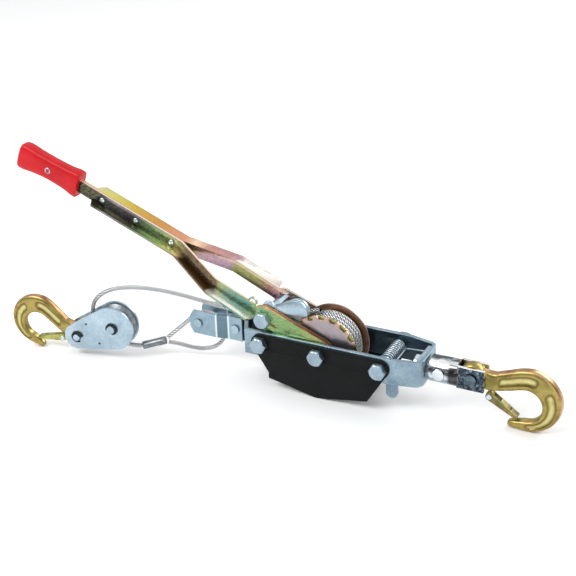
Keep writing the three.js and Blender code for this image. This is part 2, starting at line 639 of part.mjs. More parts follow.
// ---------------------------------------------------------------- wire rope
// Free rope along laid points, measured from the axle: drum to sheave, sheave to ferrule, and the eye loop.
const SUPPLY_ROUTE = [
  [-12.4, 4, 33.7], [-37, 3, 25], [-65, 1, 14], [-100, -2, 15], [-125, -6, 19.5], [-147.3, -12.1, 25.2],
  [-169.7, -18.5, 30.6], [-196.7, -26.2, 34.8], [-222, -33.5, 35.2], [-241, -39, 31.5], [-254, -42.8, 24.6],
  [-262, -45, 15.5], [-265, -45.7, 5], [-264.2, -45.6, -5], [-261.3, -45, -14],
];
const RETURN_ROUTE = [
  [-240.6, -41.3, -32.4], [-232, -38.8, -33.2], [-220, -34, -35], [-214.3, -31.4, -35.4],
];
const FERRULE_ENDS = [[-213, -30.8, -35.2], [-189.5, -19.2, -28.9]];
const LOOP_ROUTE = [
  [-187.9, -18.3, -25.9], [-182, -15.6, -20.2], [-172, -10.7, -10.6], [-161.5, -5, -0.8], [-150, 0, 5.4],
  [-138, 0.4, 3.6], [-128.5, 0.4, -4.4], [-126, 0.3, -16], [-130.5, 0.2, -27], [-140, -0.5, -35.3],
  [-152, -3.2, -39], [-165, -8.4, -37.2], [-176, -13.2, -33.6], [-187.4, -18.3, -31.3],
];

function ropeTube(route, stepLength = 12) {
  const curve = new THREE.CatmullRomCurve3(route.map((p) => new THREE.Vector3(...p)), false, "centripetal");
  const section = new THREE.Shape(circle(0, 0, ROPE, 45).map(point));
  const steps = Math.max(2, Math.round(curve.getLength() / stepLength));
  return new THREE.ExtrudeGeometry(section, { steps, bevelEnabled: false, extrudePath: curve });
}

// Rope lying in the sheave groove, from the side nearer the hook round to the underside.
function ropeOnSheave() {
  const r = SHEAVE.groove + ROPE + GAP;
  const from = 190 - BLOCK.pitch;
  const to = 268 - BLOCK.pitch;
  const route = arc(BLOCK.spacing, 0, r, from, to, 12).map(([x, z]) => [x, 0, z]);
  return ropeTube(route, 3.5);
}

function ferrule() {
  const [a, b] = FERRULE_ENDS.map((p) => new THREE.Vector3(...p));
  const oval = circle(0, 0, 1).map(([x, y]) => new THREE.Vector2(FERRULE.wide * x, FERRULE.thick * y));
  const path = new THREE.LineCurve3(a, b);
  const options = { steps: 1, bevelEnabled: false, extrudePath: path };
  return new THREE.ExtrudeGeometry(new THREE.Shape(oval), options);
}

function buildRope(parent, pulleyGroup) {
  piece(parent, "rope_supply", ropeTube(SUPPLY_ROUTE), ropeSteel);
  piece(pulleyGroup, "rope_on_sheave", ropeOnSheave(), ropeSteel);
  piece(parent, "rope_return", ropeTube(RETURN_ROUTE), ropeSteel);
  piece(parent, "rope_eye_loop", ropeTube(LOOP_ROUTE), ropeSteel);
  piece(parent, "ferrule", ferrule(), aluminium);
}

// ---------------------------------------------------------------- assembly
const winch = new THREE.Group();
winch.position.set(...AXLE);

function subgroup(parent, x = 0, z = 0, turn = 0) {
  const g = new THREE.Group();
  g.position.set(x, 0, z);
  g.rotation.y = rad(turn);
  parent.add(g);
  return g;
}

buildFrame(winch);
buildDrum(subgroup(winch));
buildHandle(subgroup(winch));
piece(winch, "drive_pawl", drivePawl(), clearZinc);
piece(winch, "lock_pawl", lockPawl(), clearZinc);
const springLeg = [BACKING.x0 - 1.6, 14, 3];
piece(winch, "lock_pawl_spring", springSleeve(BOLT.right, 0, 7.7, 6.4, -14, 24, springLeg), brightSteel);
buildSwivel(winch);
const largeHook = subgroup(winch, CLEVIS_PIN, SWIVEL.z);
buildHook(largeHook, largeHook, "large");

const pulley = new THREE.Group();
pulley.position.set(...BLOCK_PIN);
pulley.rotation.set(0, -rad(BLOCK.pitch), rad(BLOCK.yaw), "ZYX");
winch.add(pulley);
buildBlock(pulley, pulley);
const smallHook = new THREE.Group();
smallHook.rotation.set(0, rad(BLOCK.pitch + SMALL_HOOK.lift), Math.PI, "YZX");
smallHook.scale.setScalar(SMALL_HOOK.scale);
pulley.add(smallHook);
buildHook(smallHook, smallHook, "small");

buildRope(winch, pulley);

export default new THREE.Group().add(winch);
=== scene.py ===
import json
import math

import bmesh
import bpy
import numpy as np
from mathutils import Matrix, Vector


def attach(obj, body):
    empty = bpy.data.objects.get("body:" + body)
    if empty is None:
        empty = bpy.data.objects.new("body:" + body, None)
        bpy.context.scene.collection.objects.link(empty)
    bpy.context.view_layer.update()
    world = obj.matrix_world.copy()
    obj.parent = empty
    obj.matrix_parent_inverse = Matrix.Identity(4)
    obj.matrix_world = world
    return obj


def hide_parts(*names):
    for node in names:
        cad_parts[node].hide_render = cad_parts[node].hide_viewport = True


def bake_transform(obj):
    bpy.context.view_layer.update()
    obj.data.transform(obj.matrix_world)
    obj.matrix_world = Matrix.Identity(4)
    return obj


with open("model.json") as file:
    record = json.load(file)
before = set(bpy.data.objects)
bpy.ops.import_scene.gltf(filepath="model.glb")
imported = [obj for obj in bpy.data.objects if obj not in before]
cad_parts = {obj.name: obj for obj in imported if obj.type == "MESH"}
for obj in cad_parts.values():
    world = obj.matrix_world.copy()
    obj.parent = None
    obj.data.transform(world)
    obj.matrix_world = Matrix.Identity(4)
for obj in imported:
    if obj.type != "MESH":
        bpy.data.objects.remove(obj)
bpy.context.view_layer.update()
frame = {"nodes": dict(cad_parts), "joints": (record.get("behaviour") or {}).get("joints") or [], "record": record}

scene = bpy.context.scene

# ---------------------------------------------------------------- places
# Lengths below are millimetres measured from the drum axle, as in the design; MM turns them into metres.
MM = 0.001
AXLE = Vector(next(j for j in frame["joints"] if j["name"] == "handle_swing")["pos_m"])
WINCH = Matrix.Translation(AXLE) @ Matrix.Scale(MM, 4)


def rad(deg):
    return math.radians(deg)


def turn(deg, axis):
    return Matrix.Rotation(rad(deg), 4, axis)


BLOCK_PIN = (-282.3, -48.7, -25.8)
BLOCK = WINCH @ Matrix.Translation(BLOCK_PIN) @ turn(10, "Z") @ turn(-19.1, "Y")
HOOK_FIT = Matrix.Scale(0.9975, 4)  # keeps the round outlines inside the frame's faceted ones
SMALL_HOOK = BLOCK @ turn(44.8, "Y") @ turn(180, "Z") @ Matrix.Scale(0.9, 4) @ HOOK_FIT
LARGE_HOOK = WINCH @ Matrix.Translation((155, 0, -2)) @ HOOK_FIT
LOW_ANGLE, TOP_ANGLE = rad(24.2), rad(22)
FORK_U = 191
COLLECTION = scene.collection


def on_handle(u, v=0.0):
    """Point (x, z) at distance u along the handle's centre line and v above it."""
    first = min(u, FORK_U)
    rest = u - first
    t = TOP_ANGLE if rest > 0 else LOW_ANGLE
    x = -first * math.cos(LOW_ANGLE) - rest * math.cos(TOP_ANGLE) + v * math.sin(t)
    z = first * math.sin(LOW_ANGLE) + rest * math.sin(TOP_ANGLE) + v * math.cos(t)
    return x, z


# ---------------------------------------------------------------- camera, stage and light
def add_camera():
    azimuth, elevation, roll = rad(27.47), rad(25.87), rad(-1.61)
    back = Vector((math.sin(azimuth) * math.cos(elevation), -math.cos(azimuth) * math.cos(elevation),
                   math.sin(elevation)))
    level = Vector((math.cos(azimuth), math.sin(azimuth), 0))
    rise = back.cross(level)
    right = level * math.cos(roll) + rise * math.sin(roll)
    up = rise * math.cos(roll) - level * math.sin(roll)
    place = AXLE + (back * 1200 - right * 43.46 + up * 56.65) * MM
    camera = bpy.data.cameras.new("camera")
    camera.lens, camera.sensor_width = 72.53, 36
    camera.clip_start, camera.clip_end = 0.05, 50
    obj = bpy.data.objects.new("camera", camera)
    obj.matrix_world = Matrix.Translation(place) @ Matrix((right, up, back)).transposed().to_4x4()
    COLLECTION.objects.link(obj)
    scene.camera = obj


def area_light(name, place, target, size, power):
    light = bpy.data.lights.new(name, "AREA")
    light.shape, light.size, light.size_y, light.energy = "RECTANGLE", size[0], size[1], power
    obj = bpy.data.objects.new(name, light)
    aim = (Vector(target) - Vector(place)).to_track_quat("-Z", "Y")
    obj.matrix_world = Matrix.Translation(place) @ aim.to_matrix().to_4x4()
    COLLECTION.objects.link(obj)


def add_stage():
    material = bpy.data.materials.new("floor")
    material.use_nodes = True
    shader = material.node_tree.nodes["Principled BSDF"]
    shader.inputs["Base Color"].default_value = (0.96, 0.96, 0.96, 1)
    shader.inputs["Roughness"].default_value = 0.75
    mesh = bpy.data.meshes.new("floor")
    half = 12.0
    corners = [(-half, -half, 0), (half, -half, 0), (half, half, 0), (-half, half, 0)]
    mesh.from_pydata(corners, [], [(0, 1, 2, 3)])
    mesh.materials.append(material)
    floor = bpy.data.objects.new("floor", mesh)
    COLLECTION.objects.link(floor)


WORLD_BACK = [(0.0, 0.62), (0.10, 0.50), (0.25, 0.85), (0.45, 1.2), (0.7, 1.3), (1.0, 1.25)]
WORLD_FRONT = [(0.0, 0.34), (0.15, 0.22), (0.42, 0.25), (0.58, 0.9), (0.75, 1.5), (1.0, 1.25)]
WORLD_STRENGTH = 0.72


def add_world():
    world = bpy.data.worlds.new("studio")
    world.use_nodes = True
    tree = world.node_tree
    direction = tree.nodes.new("ShaderNodeTexCoord")
    split = tree.nodes.new("ShaderNodeSeparateXYZ")
    tree.links.new(direction.outputs["Generated"], split.inputs[0])
    front = tree.nodes.new("ShaderNodeVectorMath")
    front.operation = "DOT_PRODUCT"
    front.inputs[1].default_value = (0.46, -0.89, 0)
    tree.links.new(direction.outputs["Generated"], front.inputs[0])
    dark_reflection_stops = []
    for stops in (WORLD_BACK, WORLD_FRONT):
        ramp = tree.nodes.new("ShaderNodeValToRGB")
        tree.links.new(split.outputs["Z"], ramp.inputs[0])
        fill_ramp(ramp, [(at, (v, v * 1.005, v * 1.015)) for at, v in stops])
        dark_reflection_stops.append(ramp.outputs[0])
    side = tree.nodes.new("ShaderNodeMapRange")
    side.inputs["From Min"].default_value = 0.05
    side.inputs["From Max"].default_value = 0.55
    tree.links.new(front.outputs["Value"], side.inputs["Value"])
    mixed = tree.nodes.new("ShaderNodeMix")
    mixed.data_type = "RGBA"
    sockets = (mixed.inputs["Factor"], mixed.inputs[6], mixed.inputs[7])
    for output, socket in zip((side.outputs[0], *dark_reflection_stops), sockets):
        tree.links.new(output, socket)
    background = tree.nodes["Background"]
    tree.links.new(mixed.outputs[2], background.inputs[0])
    background.inputs[1].default_value = WORLD_STRENGTH
    scene.world = world


def add_lights():
    middle = (0.03, 0.01, 0.06)
    area_light("key", (-0.9, -1.3, 1.7), middle, (1.3, 0.9), 30)
    area_light("rim", (0.9, 1.5, 1.1), middle, (1.6, 0.5), 17)
    area_light("front", (1.1, -1.7, 0.55), middle, (0.5, 1.1), 7)
    scene.view_settings.view_transform = "Standard"


# ---------------------------------------------------------------- materials
def linear(color):
    """Linear RGBA of a colour written as six hex digits."""
    parts = [int(color[i:i + 2], 16) / 255 for i in (0, 2, 4)]
    return tuple(c / 12.92 if c <= 0.04045 else ((c + 0.055) / 1.055) ** 2.4 for c in parts) + (1.0,)


def fill_ramp(node, stops):
    elements = node.color_ramp.elements
    while len(elements) > 1:
        elements.remove(elements[-1])
    for i, (at, color) in enumerate(stops):
        element = elements[0] if i == 0 else elements.new(at)
        element.position = at
        element.color = linear(color) if isinstance(color, str) else (*color, 1.0)


class Nodes:
    """A material's node tree with short ways to add and join nodes."""

    def __init__(self, name, metallic=0.0, roughness=0.5, coat=0.0):
        self.material = bpy.data.materials.new(name)
        self.material.use_nodes = True
        self.tree = self.material.node_tree
        self.shader = self.tree.nodes["Principled BSDF"]
        self.shader.inputs["Metallic"].default_value = metallic
        self.shader.inputs["Roughness"].default_value = roughness
        self.shader.inputs["Coat Weight"].default_value = coat
        coordinates = self.tree.nodes.new("ShaderNodeTexCoord")
        self.place, self.normal = coordinates.outputs["Object"], coordinates.outputs["Normal"]

    def join(self, value, socket):
        if hasattr(value, "node"):
            self.tree.links.new(value, socket)
        else:
            socket.default_value = value

    def noise(self, scale, detail=3.0, distortion=0.0, stretch=None, rough=0.55):
        node = self.tree.nodes.new("ShaderNodeTexNoise")
        node.inputs["Scale"].default_value = scale
        node.inputs["Detail"].default_value = detail
        node.inputs["Distortion"].default_value = distortion
        node.inputs["Roughness"].default_value = rough
        self.join(self.scaled(stretch) if stretch else self.place, node.inputs["Vector"])
        return node.outputs["Fac"]

    def scaled(self, factors):
        node = self.tree.nodes.new("ShaderNodeMapping")
        node.inputs["Scale"].default_value = factors
        self.join(self.place, node.inputs["Vector"])
        return node.outputs[0]

    def math(self, operation, a, b=0.0, c=0.0, clamp=False):
        node = self.tree.nodes.new("ShaderNodeMath")
        node.operation, node.use_clamp = operation, clamp
        for value, socket in zip((a, b, c), node.inputs):
            self.join(value, socket)
        return node.outputs[0]

    def dot(self, vector, direction):
        node = self.tree.nodes.new("ShaderNodeVectorMath")
        node.operation = "DOT_PRODUCT"
        self.join(vector, node.inputs[0])
        node.inputs[1].default_value = direction
        return node.outputs["Value"]

    def distance(self, centre, mask):
        """Distance from centre, in metres, counting only the axes where mask is 1."""
        node = self.tree.nodes.new("ShaderNodeVectorMath")
        node.operation = "MULTIPLY_ADD"
        self.join(self.place, node.inputs[0])
        node.inputs[1].default_value = mask
        node.inputs[2].default_value = [-c * m for c, m in zip(centre, mask)]
        length = self.tree.nodes.new("ShaderNodeVectorMath")
        length.operation = "LENGTH"
        self.join(node.outputs[0], length.inputs[0])
        return length.outputs["Value"]

    def spread(self, value, low, high, to_low=0.0, to_high=1.0):
        node = self.tree.nodes.new("ShaderNodeMapRange")
        for i, v in enumerate((value, low, high, to_low, to_high)):
            self.join(v, node.inputs[i])
        return node.outputs[0]

    def ramp(self, value, stops):
        node = self.tree.nodes.new("ShaderNodeValToRGB")
        fill_ramp(node, stops)
        self.join(value, node.inputs[0])
        return node.outputs[0]

    def mix(self, share, a, b):
        node = self.tree.nodes.new("ShaderNodeMix")
        node.data_type = "RGBA"
        self.join(share, node.inputs["Factor"])
        self.join(a, node.inputs[6])
        self.join(b, node.inputs[7])
        return node.outputs[2]

    def attribute(self, name):
        node = self.tree.nodes.new("ShaderNodeAttribute")
        node.attribute_name = name
        return node.outputs["Fac"]

    def bump(self, height, strength, distance=0.0003):
        node = self.tree.nodes.new("ShaderNodeBump")
        node.inputs["Strength"].default_value = strength
        node.inputs["Distance"].default_value = distance
        self.join(height, node.inputs["Height"])
        self.join(node.outputs[0], self.shader.inputs["Normal"])

    def color(self, value):
        self.join(value, self.shader.inputs["Base Color"])

    def roughness(self, value):
        self.join(value, self.shader.inputs["Roughness"])


def clear_zinc(name="clear_zinc", light="A5BAC6", middle="8DA3B0", dark="73899A", rough=(0.26, 0.42),
               inside=None, jog=()):
    """Satin zinc; inside is half the width, in metres, of the room between the frame's legs, where painted shade
    darkens the zinc.

    jog gives the two bends of a joggled plate, in metres from the axle: a painted highlight along each bend,
    painted shade between them.
    """
    m = Nodes(name, metallic=0.92)
    cloud = m.noise(38, 4, 0.6)
    mottle = m.noise(420, 3)
    color = m.ramp(m.math("MULTIPLY_ADD", mottle, 0.35, m.math("MULTIPLY", cloud, 0.65)),
                   [(0.30, dark), (0.50, middle), (0.68, light)])
    # Painted shade: the zinc between the frame's legs, below their top edge, darkens toward 2A3B47.
    if inside:
        past_bend = m.math("MAXIMUM", m.math("SUBTRACT", m.dot(m.place, (1, 0, 0)), AXLE.x + 0.079), 0.0)
        near = m.math("MULTIPLY_ADD", past_bend, 0.16, m.distance(AXLE, (0, 1, 0)))
        below = m.spread(m.dot(m.place, (0, 0, 1)), AXLE.z + 0.0122, AXLE.z + 0.0112)
        share = m.math("MULTIPLY", m.spread(near, inside, inside - 0.0004), below)
        share = m.math("MULTIPLY", share, m.spread(past_bend, 0.0264, 0.0260))
        color = m.mix(m.math("MULTIPLY", share, m.spread(cloud, 0.3, 0.7, 0.7, 0.9)), color, linear("2A3B47"))
    # Painted shade on the strip between the bends, and a painted highlight along each bend.
    if jog:
        x = m.math("SUBTRACT", m.dot(m.place, (1, 0, 0)), AXLE.x)
        jog_shade_mask = m.math("MULTIPLY", m.spread(x, jog[0], jog[0] + 0.001), m.spread(x, jog[1], jog[1] - 0.001))
        color = m.mix(m.math("MULTIPLY", jog_shade_mask, 0.75), color, linear("56707E"))
        for bend in jog:
            line = m.spread(m.math("ABSOLUTE", m.math("SUBTRACT", x, bend)), 0.0014, 0.0005)
            color = m.mix(m.math("MULTIPLY", line, 0.85), color, linear("E6F4FA"))
    m.color(color)
    m.roughness(m.spread(m.noise(90, 5, 0.3), 0.3, 0.7, *rough))
    scratches = m.noise(60, 4, 0.0, (1.0, 18.0, 14.0))
    m.bump(m.math("MULTIPLY_ADD", scratches, 0.6, m.noise(900, 2)), 0.16, 0.00012)
    return m.material


def bright_steel():
    m = Nodes("bright_steel", metallic=1.0)
    m.color(m.ramp(m.noise(55, 3, 0.4), [(0.3, "BFC8D2"), (0.7, "EEF2F6")]))
    m.roughness(m.spread(m.noise(240, 4), 0.3, 0.7, 0.08, 0.2))
    m.bump(m.noise(60, 3, 0.0, (1.0, 12.0, 12.0)), 0.12, 0.0002)
    return m.material


def clevis_steel():
    """Polished steel with painted light: a dark mottled painted reflection on the flat ears, as though they mirror
    a dark room, painted bands of reflected light and dark elsewhere, and painted shade on the front faces near the
    ears.
    """
    m = Nodes("clevis_steel", metallic=1.0)
    polished = m.ramp(m.noise(55, 3, 0.4), [(0.3, "AEB8C2"), (0.7, "E6EBF0")])
    # Painted reflection: dark mottled tones for the flat ears.
    dark_reflection_stops = [(0.36, "1F262D"), (0.5, "3F4B55"), (0.62, "66737E"), (0.72, "9AA6B0")]
    mottle = m.ramp(m.noise(260, 5, 1.2), dark_reflection_stops)
    ear = m.math("MULTIPLY", m.spread(m.math("ABSOLUTE", m.dot(m.normal, (0, 1, 0))), 0.93, 0.985),
                 m.spread(m.dot(m.place, (1, 0, 0)), AXLE.x + 0.140, AXLE.x + 0.1425))
    ear = m.math("MULTIPLY", ear, m.spread(m.distance(AXLE, (0, 1, 0)), 0.0085, 0.0095))
    # Painted reflection: wavy bands of light and dark that follow the height.
    height = m.math("SUBTRACT", m.dot(m.place, (0, 0, 1)), AXLE.z - 0.002)
    wavy = m.math("MULTIPLY_ADD", m.noise(45, 3, 0.8), 0.006, height)
    painted_light_band = m.ramp(m.math("MULTIPLY_ADD", wavy, 32.0, 0.40),
                  [(0.0, "2C353D"), (0.10, "6D7983"), (0.20, "A9B4BD"), (0.34, "7C8892"), (0.42, "E4EAEF"),
                   (0.50, "C2CCD4"), (0.56, "23282D"), (0.64, "14181C"), (0.68, "DDE4EA"), (0.90, "FFFFFF"),
                   (0.94, "3A444D"), (1.0, "1E252B")])
    # Painted shade on the front-facing faces near the ears' ends.
    scoop_shade = m.math("MULTIPLY", m.spread(m.dot(m.place, (1, 0, 0)), AXLE.x + 0.131, AXLE.x + 0.134),
                   m.spread(m.dot(m.place, (1, 0, 0)), AXLE.x + 0.1425, AXLE.x + 0.1415))
    scoop_shade = m.math("MULTIPLY", scoop_shade, m.spread(m.dot(m.normal, (0, -1, 0)), 0.35, 0.7))
    steel = m.mix(m.math("MULTIPLY", scoop_shade, 0.9), m.mix(0.9, polished, painted_light_band), linear("2A2426"))
    m.color(m.mix(ear, steel, mottle))
    m.roughness(m.spread(m.noise(240, 4), 0.3, 0.7, 0.10, 0.24))
    m.bump(m.noise(60, 3, 0.0, (1.0, 12.0, 12.0)), 0.12, 0.0002)
    return m.material


def black_paint():
    m = Nodes("black_paint", roughness=0.42)
    m.shader.inputs["Specular IOR Level"].default_value = 0.14
    m.color(m.ramp(m.noise(30, 4, 0.5), [(0.35, "08090A"), (0.65, "0E1011")]))
    m.roughness(m.spread(m.noise(260, 4), 0.3, 0.7, 0.36, 0.55))
    m.bump(m.noise(1100, 3), 0.22, 0.00015)
    return m.material


def black_steel():
    m = Nodes("black_steel", metallic=0.6)
    m.color(m.ramp(m.noise(300, 4), [(0.35, "1A1B1D"), (0.7, "3A3A3C")]))
    m.roughness(m.spread(m.noise(500, 3), 0.3, 0.7, 0.3, 0.5))
    m.bump(m.noise(1500, 2), 0.2, 0.0001)
    return m.material


def aluminium(name="aluminium", dark="5E6369", light="92979C"):
    m = Nodes(name, metallic=0.95)
    m.color(m.ramp(m.noise(120, 4, 0.5), [(0.3, dark), (0.7, light)]))
    m.roughness(m.spread(m.noise(300, 4), 0.3, 0.7, 0.3, 0.5))
    m.bump(m.noise(700, 4), 0.3, 0.0002)
    return m.material


def rope_steel():
    """Bright drawn wires, with painted shade in the grooves between the strands."""
    m = Nodes("rope_steel", metallic=0.95)
    depth = m.attribute("depth")
    color = m.ramp(m.noise(500, 3), [(0.3, "D4D8DA"), (0.7, "F6F7F8")])
    # Painted shade: the low parts of the strands' section darken to near black.
    m.color(m.mix(m.spread(depth, 0.62, 0.93), linear("08090A"), color))
    m.roughness(m.spread(m.noise(800, 3), 0.3, 0.7, 0.22, 0.4))
    m.bump(m.noise(2600, 2), 0.35, 0.00012)
    return m.material


def red_plastic():
    m = Nodes("red_plastic", roughness=0.36, coat=0.06)
    m.shader.inputs["Specular IOR Level"].default_value = 0.2
    m.color(m.ramp(m.noise(22, 3, 0.4), [(0.35, "B30C14"), (0.65, "C5161E")]))
    m.roughness(m.spread(m.noise(420, 4), 0.3, 0.7, 0.3, 0.46))
    m.bump(m.noise(1300, 3), 0.25, 0.00012)
    m.shader.inputs["Coat Roughness"].default_value = 0.25
    return m.material


def hook_zinc():
    """Forged steel under yellow zinc: olive gold on the faces, copper pink where the shape turns over, and painted
    shade with a painted highlight across the grooves.
    """
    m = Nodes("hook_zinc", metallic=0.95)
    cloud = m.noise(46, 4, 0.9)
    gold = m.ramp(cloud, [(0.28, "6E6534"), (0.44, "8D8046"), (0.58, "AE9C5C"), (0.72, "94794A")])
    rim = m.ramp(m.noise(60, 3, 0.5), [(0.3, "8E6C48"), (0.55, "BC9468"), (0.75, "DDBC98")])
    drift = m.spread(m.noise(75, 3, 0.8), 0.35, 0.7, -0.22, 0.22)
    share = m.math("ADD", m.attribute("rim"), drift, clamp=True)
    groove = m.attribute("groove")
    # Painted shade on the groove's slopes and a painted highlight along its bottom.
    painted_groove_light = m.ramp(m.math("ADD", groove, m.spread(m.noise(90, 3, 0.7), 0.3, 0.7, -0.1, 0.1)),
                  [(0.0, "A87E50"), (0.3, "5E5428"), (0.62, "8E8448"), (0.95, "D6CE8E")])
    faces = m.mix(m.spread(groove, 0.02, 0.22, 0.0, 0.85), gold, painted_groove_light)
    m.color(m.mix(share, faces, rim))
    m.roughness(m.spread(m.noise(210, 5), 0.3, 0.7, 0.27, 0.44))
    m.bump(m.math("MULTIPLY_ADD", m.noise(190, 4), 0.7, m.noise(1200, 2)), 0.35, 0.0002)
    return m.material


def latch_zinc(name="latch_zinc", dark="4E4C30", middle="77744A", light="A08A5A"):
    m = Nodes(name, metallic=0.92)
    m.color(m.ramp(m.noise(70, 4, 0.8), [(0.3, dark), (0.5, middle), (0.7, light)]))
    m.roughness(m.spread(m.noise(300, 4), 0.3, 0.7, 0.26, 0.42))
    m.bump(m.noise(900, 3), 0.3, 0.00015)
    return m.material


def sheet_zinc(name, web, flange, edge, flange_above):
    """Iridescent yellow zinc on a handle arm, in runs of colour along its web, flange and cut top edge; the
    near-white runs on the flange are painted glare, and the upward-facing cut top edge, or the band of a top
    flange, gets a painted highlight.
    """
    m = Nodes(name, metallic=0.95)
    along = (-math.cos(LOW_ANGLE), 0, math.sin(LOW_ANGLE))
    rise = (math.sin(LOW_ANGLE), 0, math.cos(LOW_ANGLE))
    u = m.math("SUBTRACT", m.dot(m.place, along), Vector(along).dot(AXLE))
    bend = m.math("MULTIPLY", m.math("MAXIMUM", m.math("SUBTRACT", u, 0.191), 0.0), 0.0384)
    v = m.math("ADD", m.math("SUBTRACT", m.dot(m.place, rise), Vector(rise).dot(AXLE)), bend)
    share = m.math("DIVIDE", u, 0.4)
    drift = m.spread(m.noise(30, 3, 0.8), 0.3, 0.7, -0.018, 0.018)
    share = m.math("ADD", share, m.math("MULTIPLY_ADD", v, 1.1, drift))
    flat = m.math("ABSOLUTE", m.dot(m.normal, (0, 1, 0)))
    on_web = m.spread(flat, 0.25, 0.65)
    color = m.mix(on_web, m.ramp(share, flange), m.ramp(share, web))
    streak = m.noise(60, 4, 0.0, (3.0, 10.0, 30.0))
    pale = m.math("MULTIPLY", on_web, m.spread(streak, 0.42, 0.7, 0.0, 0.3))
    color = m.mix(pale, color, linear("D9CFA8"))
    burnt = m.math("MULTIPLY", on_web, m.spread(streak, 0.52, 0.30, 0.0, 0.35))
    color = m.mix(burnt, color, linear("2A241C"))
    # Painted highlight on the upward-facing cut top edge, or on the band of a top flange.
    top = m.math("MULTIPLY", m.spread(m.dot(m.normal, rise), 0.55, 0.8), m.spread(v, 0.0052, 0.0062))
    if flange_above:
        painted_light_band = m.math("MULTIPLY", m.spread(flat, 0.4, 0.8), m.spread(v, 0.0030, 0.0046))
        color = m.mix(painted_light_band, color, m.mix(0.5, m.ramp(share, web), linear("F6D8B8")))
    else:
        color = m.mix(top, color, m.ramp(share, edge))
    m.color(color)
    m.roughness(m.spread(m.noise(160, 5), 0.3, 0.7, 0.16, 0.32))
    m.bump(m.math("MULTIPLY_ADD", m.noise(60, 3), 0.8, m.noise(1000, 2)), 0.3, 0.0002)
    return m.material


def drum_zinc(name, stops):
    """Yellow zinc on a disc round the drum axle; stops run from the centre to 40 mm out."""
    m = Nodes(name, metallic=0.92)
    radius = m.distance(AXLE, (1, 0, 1))
    share = m.math("MULTIPLY_ADD", m.noise(80, 3, 0.6), 0.16, m.math("DIVIDE", radius, 0.040))
    m.color(m.ramp(m.math("SUBTRACT", share, 0.08), stops))
    m.roughness(m.spread(m.noise(200, 4), 0.3, 0.7, 0.26, 0.42))
    m.bump(m.math("MULTIPLY_ADD", m.noise(120, 3), 0.8, m.noise(1000, 2)), 0.25, 0.0002)
    return m.material


# Copies of one satin zinc at different brightness: ZINC (most clear zinc parts, such as the cheeks) and FORK_ZINC
# are lighter copies of the strap's zinc, painted light for those brighter parts.
ZINC = clear_zinc("clear_zinc", "BDD0DB", "A8BDCA", "8CA2B0")
# inside= gives the strap, the lock pawl and the bolts painted shade between the frame's legs.
STRAP_ZINC = clear_zinc("strap_zinc", inside=0.0270)
FORK_ZINC = clear_zinc("fork_zinc", "A6BECB", "93ABB8", "7C96A4", jog=(-0.128, -0.1145))
PAWL_ZINC = clear_zinc("pawl_zinc", inside=0.0155)
SPRING_STEEL = clear_zinc("spring_steel", "DDE6EC", "B4C2CC", "8496A2", (0.14, 0.26))
# Dark copy of the satin zinc: a painted dark reflection for the polished clevis pin; the cheek marks use it too.
PIN_STEEL = clear_zinc("pin_steel", "6A7883", "3C4852", "1E262C", (0.16, 0.3))
ZINC_BOLT = clear_zinc("zinc_bolt", "B9C8D2", "9DB0BC", "8296A4", (0.2, 0.36), inside=0.0245)
CLEVIS_STEEL = clevis_steel()
BRIGHT = bright_steel()
BLACK = black_paint()
CLIP_BLACK = black_steel()
ALUMINIUM = aluminium()
ROPE_STEEL = rope_steel()
RED = red_plastic()
HOOK_ZINC = hook_zinc()
LATCH_ZINC = latch_zinc()
# Front arm: the near-white flange stops are painted glare, the third list a painted highlight for the cut top
# edge.
FRONT_ARM = sheet_zinc(
    "front_arm_zinc",
    [(0.0, "A08A5A"), (0.05, "86985A"), (0.12, "6E9A60"), (0.19, "7FA070"), (0.235, "4F8F80"),
     (0.29, "5F8F88"), (0.325, "94A878"), (0.345, "5A4030"), (0.42, "6E5644"), (0.465, "5C4A36"),
     (0.495, "8F8A5C"), (0.54, "7E9078"), (0.60, "6C7C6C"), (0.635, "5C5468"), (0.70, "7C7E8A"),
     (0.735, "30352C"), (0.80, "262B22"), (1.0, "3A3A2C")],
    [(0.0, "C8C48A"), (0.2, "FFFDF0"), (0.32, "FFFFF8"), (0.345, "4A3418"), (0.45, "3A2A14"),
     (0.475, "E8D0A0"), (0.51, "A6B478"), (0.56, "6A8058"), (0.62, "46462E"), (0.8, "2C2C20"),
     (1.0, "2C2C20")],
    [(0.0, "C09068"), (0.2, "D8B088"), (0.3, "F4DCC0"), (0.5, "FFE8D4"), (0.7, "FFDCC8"),
     (1.0, "F0C8A8")], False)
# Rear arm: the near-white flange stops are painted glare.
REAR_ARM = sheet_zinc(
    "rear_arm_zinc",
    [(0.0, "8E5F50"), (0.10, "9A6E66"), (0.17, "A8808C"), (0.225, "8A5C60"), (0.26, "7E8048"),
     (0.33, "8E9058"), (0.35, "A888A0"), (0.42, "B08C94"), (0.46, "7A5C40"), (0.52, "6A5038"),
     (0.7, "8A6A4A"), (1.0, "8A7850")],
    [(0.0, "C8A890"), (0.2, "FFF4E8"), (0.335, "FFFAF2"), (0.355, "C8989C"), (0.42, "D0988C"),
     (0.465, "FFE0C0"), (0.50, "E0A080"), (0.58, "D89C50"), (0.66, "D8B848"), (0.74, "E6E078"),
     (0.79, "F0D8B8"), (1.0, "E0B890")],
    [(0.0, "FFFFFF"), (1.0, "FFFFFF")], True)
SMALL_LATCH_ZINC = latch_zinc("small_latch_zinc", "7C7A44", "AEB066", "C8C07C")
WHEEL_ZINC = drum_zinc(
    "wheel_zinc", [(0.0, "8E8A90"), (0.55, "9C959A"), (0.84, "A2969A"), (0.93, "B49688"), (1.0, "C2A890")])
FRONT_FLANGE = drum_zinc(
    "front_flange_zinc", [(0.0, "6A6840"), (0.8, "7E7C4E"), (0.92, "A09C60"), (1.0, "B8B890")])
